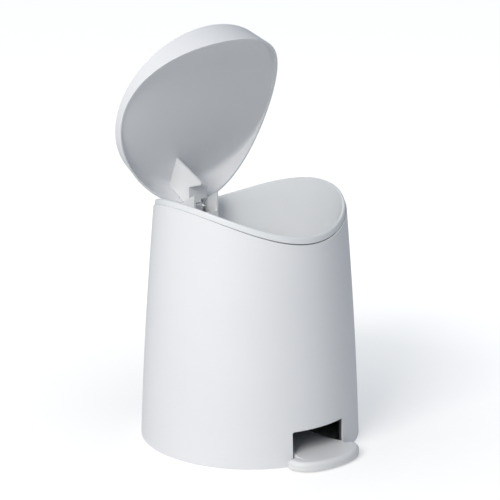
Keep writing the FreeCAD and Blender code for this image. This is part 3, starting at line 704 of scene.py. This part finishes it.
# ---------------------------------------------------------------- hinge bracket, rod guide, rod ends
# Small polypropylene mouldings of the lift: the bracket and the guide are screwed to the inside of the
# shell, and the rod's foot and head are pressed on its ends.

BRACKET_EDGE = 0.0003
ROD_FOOT_EDGE = 0.0004
bracket = softened("bracket_moulding", "hinge_bracket", BRACKET_EDGE, arm_white, "bin")
guide = softened("guide_moulding", "rod_guide", BRACKET_EDGE, arm_white, "bin")
# the rod's foot takes the same dark grey painted shade as the base
rod_foot = softened("rod_foot_moulding", "rod_foot", ROD_FOOT_EDGE, dark_grey_painted_shade, "rod")
rod_head = softened("rod_head_moulding", "rod_head", BRACKET_EDGE, arm_white, "rod")

# ---------------------------------------------------------------- push rod, axle, pin and clips
# Drawn steel wire and punched washers, zinc plated: grey, with fine drawing lines along the wire. Their
# shapes are the CAD nodes'.


def plated_steel(name, across):
    """Drawn wire, zinc plated: a grey metal whose lines run along it. across is the lines' spacing."""
    material = bpy.data.materials.new(name)
    material.use_nodes = True
    tree = material.node_tree
    surface = tree.nodes["Principled BSDF"]
    place = add(tree, "ShaderNodeTexCoord").outputs["Object"]
    stretched = add(tree, "ShaderNodeMapping", place, named={"Scale": (1.0, 1.0, 0.05)})
    lines = add(tree, "ShaderNodeTexNoise",
                named={"Vector": stretched, "Scale": 1 / across, "Detail": 3.0})
    tint = add(tree, "ShaderNodeMix", lines.outputs["Fac"], data_type="RGBA")
    tint.inputs[6].default_value = linear("#A4A8AC")
    tint.inputs[7].default_value = linear("#C4C7C9")
    tree.links.new(tint.outputs[2], surface.inputs["Base Color"])
    rough = add(tree, "ShaderNodeMapRange", lines.outputs["Fac"], named={"To Min": 0.24, "To Max": 0.4})
    tree.links.new(rough.outputs[0], surface.inputs["Roughness"])
    surface.inputs["Metallic"].default_value = 1.0
    return material


# the lines of a real wire are finer, and are drawn as coarse as they need to be to show
steel = plated_steel("zinc-plated drawn steel", across=0.0006)
for name in ("push_rod", "pedal_axle", "hinge_pin", "axle_clips"):
    for slot in frame["nodes"][name].material_slots:
        slot.material = steel

# ---------------------------------------------------------------- screws
# Zinc-plated pan-head screws with a cross recess. Three hold the bracket and the guide to the shell's
# back, two hold the arm to the lid's studs.

SCREW_HEAD_RADIUS = 0.0032
SCREW_HEAD_HEIGHT = 0.002
SCREW_LENGTH = 0.006
ARM_SCREW_LENGTH = 0.008
ARM_FLANGE_LOW = 0.013


def screw_tree():
    """Geometry nodes for domed, cross-recessed screws standing at a mesh's points."""
    tree = bpy.data.node_groups.new("pan-head screws", "GeometryNodeTree")
    tree.interface.new_socket("Geometry", in_out="OUTPUT", socket_type="NodeSocketGeometry")
    for name, kind in (("Places", "NodeSocketGeometry"), ("Head Radius", "NodeSocketFloat"),
                       ("Head Height", "NodeSocketFloat"), ("Shank Radius", "NodeSocketFloat"),
                       ("Length", "NodeSocketFloat"), ("Turn", "NodeSocketVector"),
                       ("Material", "NodeSocketMaterial")):
        tree.interface.new_socket(name, in_out="INPUT", socket_type=kind)
    given = tree.nodes.new("NodeGroupInput").outputs
    math_node = "ShaderNodeMath"
    blank = add(tree, "GeometryNodeMeshCylinder", fill_type="TRIANGLE_FAN",
                named={"Vertices": 40, "Side Segments": 3, "Fill Segments": 6,
                       "Radius": given["Head Radius"], "Depth": given["Head Height"]})
    spot = add(tree, "ShaderNodeSeparateXYZ", add(tree, "GeometryNodeInputPosition"))
    squares = [add(tree, math_node, spot.outputs[axis], spot.outputs[axis], operation="MULTIPLY")
               for axis in ("X", "Y")]
    head_square = add(tree, math_node, given["Head Radius"], given["Head Radius"], operation="MULTIPLY")
    outward = add(tree, math_node, add(tree, math_node, *squares, operation="ADD"), head_square,
                  operation="DIVIDE")
    level = add(tree, math_node, add(tree, math_node, spot.outputs["Z"], given["Head Height"],
                                     operation="DIVIDE"), 0.5, operation="ADD")
    dome = add(tree, math_node, given["Head Height"], -0.5, operation="MULTIPLY")
    fall = add(tree, math_node, add(tree, math_node, level, outward, operation="MULTIPLY"), dome,
               operation="MULTIPLY")
    domed = add(tree, "GeometryNodeSetPosition",
                named={"Geometry": blank, "Offset": add(tree, "ShaderNodeCombineXYZ", 0.0, 0.0, fall)})
    half = add(tree, math_node, given["Head Height"], 0.5, operation="MULTIPLY")
    upwards = add(tree, "ShaderNodeCombineXYZ", 0.0, 0.0, half)
    lifted = add(tree, "GeometryNodeTransform", named={"Geometry": domed, "Translation": upwards})
    blades = tree.nodes.new("GeometryNodeJoinGeometry")
    length = add(tree, math_node, given["Head Radius"], 1.1, operation="MULTIPLY")
    width = add(tree, math_node, given["Head Radius"], 0.28, operation="MULTIPLY")
    top = add(tree, "ShaderNodeCombineXYZ", 0.0, 0.0, given["Head Height"])
    for sizes in ((length, width), (width, length)):
        blade = add(tree, "GeometryNodeMeshCube",
                    add(tree, "ShaderNodeCombineXYZ", *sizes, given["Head Height"]))
        at_top = add(tree, "GeometryNodeTransform", named={"Geometry": blade, "Translation": top})
        tree.links.new(at_top.outputs[0], blades.inputs[0])
    recessed = add(tree, "GeometryNodeMeshBoolean", operation="DIFFERENCE", solver="EXACT",
                   named={"Mesh 1": lifted, "Mesh 2": blades, "Self Intersection": True})
    sunk = add(tree, math_node, given["Length"], -0.5, operation="MULTIPLY")
    shank = add(tree, "GeometryNodeTransform",
                named={"Geometry": add(tree, "GeometryNodeMeshCylinder",
                                       named={"Vertices": 24, "Radius": given["Shank Radius"],
                                              "Depth": given["Length"]}),
                       "Translation": add(tree, "ShaderNodeCombineXYZ", 0.0, 0.0, sunk)})
    screw = tree.nodes.new("GeometryNodeJoinGeometry")
    tree.links.new(recessed.outputs[0], screw.inputs[0])
    tree.links.new(shank.outputs[0], screw.inputs[0])
    placed = add(tree, "GeometryNodeInstanceOnPoints",
                 named={"Points": given["Places"], "Instance": screw, "Rotation": given["Turn"]})
    real = add(tree, "GeometryNodeRealizeInstances", named={"Geometry": placed})
    painted = add(tree, "GeometryNodeSetMaterial",
                  named={"Geometry": real, "Material": given["Material"]})
    add(tree, "NodeGroupOutput", painted)
    return tree


def repeated(name, tree, places, sizes):
    """A piece made by a tree that puts a shape at each place."""
    mesh = bpy.data.meshes.new(name)
    mesh.from_pydata(places, [], [])
    piece = new_piece(name, mesh, None)
    maker = modify(piece, "NODES", node_group=tree)
    for socket in tree.interface.items_tree:
        if socket.in_out == "INPUT" and socket.name in sizes:
            maker[socket.identifier] = sizes[socket.name]
    settle(piece)
    return piece


screws = screw_tree()
screw_sizes = {"Head Radius": SCREW_HEAD_RADIUS, "Head Height": SCREW_HEAD_HEIGHT,
               "Shank Radius": SCREW_SHANK_RADIUS, "Material": steel}
back_screws = repeated("back_screw_set", screws, BACK_SCREW_PLACES,
                       {**screw_sizes, "Length": SCREW_LENGTH, "Turn": (-math.pi / 2, 0.0, 0.0)})
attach(back_screws, "bin")
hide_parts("back_screws")
arm_places = [OPENING @ Vector((STUD_ACROSS, HINGE.y - reach, HINGE.z + ARM_FLANGE_LOW))
              for reach in STUD_PLACES]
arm_turn = (math.pi - LID_OPEN, 0.0, 0.0)
arm_screws = repeated("arm_screw_set", screws, arm_places,
                      {**screw_sizes, "Length": ARM_SCREW_LENGTH, "Turn": arm_turn})
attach(arm_screws, "lid")
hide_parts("arm_screws")

# ---------------------------------------------------------------- foot pads
# Four soft rubber pads pressed under the base's flange, with rings moulded in their faces for grip.

PAD_RADIUS = (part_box("foot_pad_1")[1][0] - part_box("foot_pad_1")[0][0]) / 2
PAD_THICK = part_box("foot_pad_1")[1][2]
PAD_RING = 0.0011
PAD_GROOVE = 0.00015


def pad_tree():
    """Geometry nodes for round pads with ringed undersides, standing at a mesh's points."""
    tree = bpy.data.node_groups.new("ringed pads", "GeometryNodeTree")
    tree.interface.new_socket("Geometry", in_out="OUTPUT", socket_type="NodeSocketGeometry")
    for name, kind in (("Places", "NodeSocketGeometry"), ("Radius", "NodeSocketFloat"),
                       ("Thickness", "NodeSocketFloat"), ("Ring Spacing", "NodeSocketFloat"),
                       ("Groove", "NodeSocketFloat"), ("Material", "NodeSocketMaterial")):
        tree.interface.new_socket(name, in_out="INPUT", socket_type=kind)
    given = tree.nodes.new("NodeGroupInput").outputs
    math_node = "ShaderNodeMath"
    disc = add(tree, "GeometryNodeMeshCylinder", fill_type="TRIANGLE_FAN",
               named={"Vertices": 40, "Fill Segments": 20, "Radius": given["Radius"],
                      "Depth": given["Thickness"]})
    position = add(tree, "GeometryNodeInputPosition")
    spot = add(tree, "ShaderNodeSeparateXYZ", position)
    flat = add(tree, "ShaderNodeVectorMath", position, (1.0, 1.0, 0.0), operation="MULTIPLY")
    outward = add(tree, "ShaderNodeVectorMath", flat, operation="LENGTH").outputs["Value"]
    phase = add(tree, math_node, add(tree, math_node, outward, math.tau, operation="MULTIPLY"),
                given["Ring Spacing"], operation="DIVIDE")
    wave = add(tree, math_node, add(tree, math_node, phase, operation="SINE"), 1.0, operation="ADD")
    below = add(tree, math_node, spot.outputs["Z"], 0.0, operation="LESS_THAN")
    depth = add(tree, math_node, add(tree, math_node, wave, below, operation="MULTIPLY"),
                given["Groove"], operation="MULTIPLY")
    ringed = add(tree, "GeometryNodeSetPosition",
                 named={"Geometry": disc, "Offset": add(tree, "ShaderNodeCombineXYZ", 0.0, 0.0, depth)})
    placed = add(tree, "GeometryNodeInstanceOnPoints",
                 named={"Points": given["Places"], "Instance": ringed})
    real = add(tree, "GeometryNodeRealizeInstances", named={"Geometry": placed})
    painted = add(tree, "GeometryNodeSetMaterial",
                  named={"Geometry": real, "Material": given["Material"]})
    add(tree, "NodeGroupOutput", painted)
    return tree


pad_names = [f"foot_pad_{number}" for number in (1, 2, 3, 4)]
pad_places = [(Vector(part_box(name)[0]) + Vector(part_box(name)[1])) / 2 for name in pad_names]
# dull and almost black, with no sheen
pad_rubber = moulded_plastic("soft black rubber, matt moulded", "#2A2A2B", "#222223",
                             roughness=0.75, grain=0.0005)
pads = repeated("foot_pad_set", pad_tree(), pad_places,
                {"Radius": PAD_RADIUS, "Thickness": PAD_THICK, "Ring Spacing": PAD_RING,
                 "Groove": PAD_GROOVE, "Material": pad_rubber})
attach(pads, "bin")
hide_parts(*pad_names)

# ---------------------------------------------------------------- floor, light and camera
# A white paper floor that runs out of sight, one large soft light from the front left with a weaker one
# overhead, and pale surroundings that fill the shade a little bluish.

UNDER_BIN = 0.0985
FLOOR_REACH = (0.13, 0.6)
FLOOR_GLOW = (0.42, 0.78)
FLOOR_BOUNCE = 0.12
FLOOR_HALF = 6.0
FLOOR_LEVEL = -0.0002
FILL = 0.34
CAMERA_TARGET = Vector((0, 0, 0.16932))
CAMERA_DISTANCE = 1.3186
CAMERA_SIDE = math.radians(-38.84)
CAMERA_DOWN = math.radians(13.92)
CAMERA_LENS = 105.97


def floor_paper():
    """White studio paper: pale and aglow everywhere but under the bin, so that it throws light up into
    the lid and keeps only the shade of contact. It looks brighter the further off it is."""
    material = bpy.data.materials.new("white studio paper")
    material.use_nodes = True
    tree = material.node_tree
    tree.nodes.clear()
    paper = add(tree, "ShaderNodeBsdfDiffuse", linear("#DDDDDD"))
    place = add(tree, "ShaderNodeTexCoord").outputs["Object"]
    outward = add(tree, "ShaderNodeVectorMath", place, operation="LENGTH").outputs["Value"]
    open_floor = add(tree, "ShaderNodeMath", outward, UNDER_BIN, operation="GREATER_THAN")
    seen = add(tree, "ShaderNodeLightPath").outputs["Is Camera Ray"]
    looks = add(tree, "ShaderNodeMapRange", outward, *FLOOR_REACH, *FLOOR_GLOW)
    either = add(tree, "ShaderNodeMix", seen, data_type="FLOAT")
    either.inputs[2].default_value = FLOOR_BOUNCE
    tree.links.new(looks.outputs[0], either.inputs[3])
    strength = add(tree, "ShaderNodeMath", either, open_floor, operation="MULTIPLY")
    glow = add(tree, "ShaderNodeEmission", linear("#FFFFFF"), strength)
    add(tree, "ShaderNodeOutputMaterial", add(tree, "ShaderNodeAddShader", paper, glow))
    return material


floor_corners = [(x * FLOOR_HALF, y * FLOOR_HALF, FLOOR_LEVEL)
                 for x, y in ((-1, -1), (1, -1), (1, 1), (-1, 1))]
floor_shape = bpy.data.meshes.new("floor")
floor_shape.from_pydata(floor_corners, [], [(0, 1, 2, 3)])
floor = new_piece("floor", floor_shape, floor_paper())

world = bpy.data.worlds.new("pale surroundings")
bpy.context.scene.world = world
world.use_nodes = True
sky = world.node_tree
sky.nodes.clear()
rays = add(sky, "ShaderNodeLightPath")
seen_white = add(sky, "ShaderNodeBackground", linear("#FFFFFF"), 1.0)
fill = add(sky, "ShaderNodeBackground", linear("#E2ECF8"), FILL)
around = add(sky, "ShaderNodeMixShader", rays.outputs["Is Camera Ray"], fill, seen_white)
add(sky, "ShaderNodeOutputWorld", around)


def soft_light(name, side, height, reach, size, power, colour):
    """Square softbox aimed at the bin, at an angle round it from the front and a height in degrees."""
    lamp = bpy.data.lights.new(name, "AREA")
    lamp.size = size
    lamp.energy = power
    lamp.color = linear(colour)[:3]
    box_light = bpy.data.objects.new(name, lamp)
    bpy.context.scene.collection.objects.link(box_light)
    turn, rise = math.radians(side), math.radians(height)
    way = Vector((math.sin(turn) * math.cos(rise), -math.cos(turn) * math.cos(rise), math.sin(rise)))
    box_light.location = Vector((0, 0, 0.15)) + way * reach
    box_light.rotation_euler = (-way).to_track_quat("-Z", "Y").to_euler()


soft_light("key_softbox", side=-68.8, height=33, reach=2.2, size=1.1, power=31.5, colour="#FFFCF7")
soft_light("top_softbox", side=0, height=85, reach=2.0, size=1.6, power=5, colour="#F4F8FF")

level_sight = math.cos(CAMERA_DOWN)
sight = Vector((-math.sin(CAMERA_SIDE) * level_sight, math.cos(CAMERA_SIDE) * level_sight,
                -math.sin(CAMERA_DOWN)))
camera = bpy.data.objects.new("camera", bpy.data.cameras.new("camera"))
bpy.context.scene.collection.objects.link(camera)
camera.data.lens = CAMERA_LENS
camera.location = CAMERA_TARGET - sight * CAMERA_DISTANCE
camera.rotation_euler = sight.to_track_quat("-Z", "Y").to_euler()
bpy.context.scene.camera = camera
bpy.context.scene.view_settings.view_transform = "Standard"
